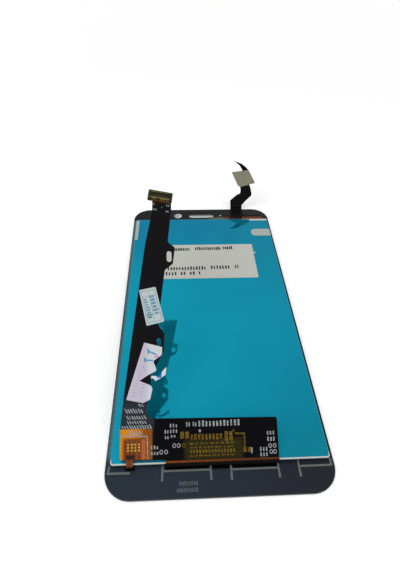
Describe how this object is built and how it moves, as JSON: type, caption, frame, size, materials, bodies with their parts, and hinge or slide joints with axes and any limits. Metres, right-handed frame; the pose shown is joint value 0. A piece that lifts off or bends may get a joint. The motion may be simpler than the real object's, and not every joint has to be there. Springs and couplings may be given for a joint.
{
  "type": "phone display assembly",
  "caption": "Phone display with cover glass, backlight under a blue protective film, a main flexible circuit with connector on a long arm and a touch circuit at the upper edge.",
  "frame": {"origin": "middle of the cover glass's front face, which lies on the table", "axes": "+X to the right and +Y towards the earpiece end, seen from behind; +Z from the glass's front face through the backlight to the display's back"},
  "size_m": [0.068, 0.1481, 0.0417],
  "materials": {
    "cover_glass": "polished",
    "border_ink": "glossy black print",
    "sensor_film": "clear film",
    "clear_adhesive": "clear",
    "polariser": "grey film",
    "cell_glass": "polished",
    "chip": "bare silicon",
    "white_plastic": "satin white",
    "black_tape": "matt black film",
    "clear_sheet": "satin clear film",
    "reflector": "silvery white film",
    "lamp": "yellow phosphor in a white case",
    "amber_circuit": "amber polyimide over copper",
    "solder": "bright solder",
    "blue_film": "glossy transparent blue over silver",
    "white_label": "satin paper",
    "lilac_label": "satin paper",
    "black_circuit": "satin black cover film",
    "gold": "gold plating",
    "connector_plastic": "matt black moulding",
    "beige_stiffener": "satin epoxy laminate"
  },
  "bodies": {
    "root": {"cover_glass": "cover_glass", "printed_border": "border_ink", "touch_sensor_film": "sensor_film", "optical_adhesive": "clear_adhesive", "front_polariser": "polariser", "colour_filter_glass": "cell_glass", "array_glass": "cell_glass", "rear_polariser": "polariser", "driver_chip": "chip", "backlight_frame": "white_plastic", "rim_tape": "black_tape", "upper_prism_sheet": "clear_sheet", "lower_prism_sheet": "clear_sheet", "diffuser_sheet": "clear_sheet", "light_guide": "clear_sheet", "reflector_sheet": "reflector", "backlight_leds": "lamp", "backlight_flex": "amber_circuit", "solder_joints": "solder", "protective_film": "blue_film", "rear_label": "white_label", "side_tape": "white_label", "pull_tab": "white_label", "main_flex": "black_circuit", "test_pads": "gold", "arm_label": "white_label", "torn_label": "lilac_label", "underside_label": "white_label", "connector_stiffener": "amber_circuit", "connector_body": "connector_plastic", "connector_contacts": "gold", "touch_flex": "black_circuit", "touch_stiffener": "beige_stiffener", "touch_connector": "connector_plastic"}
  },
  "joints": []
}
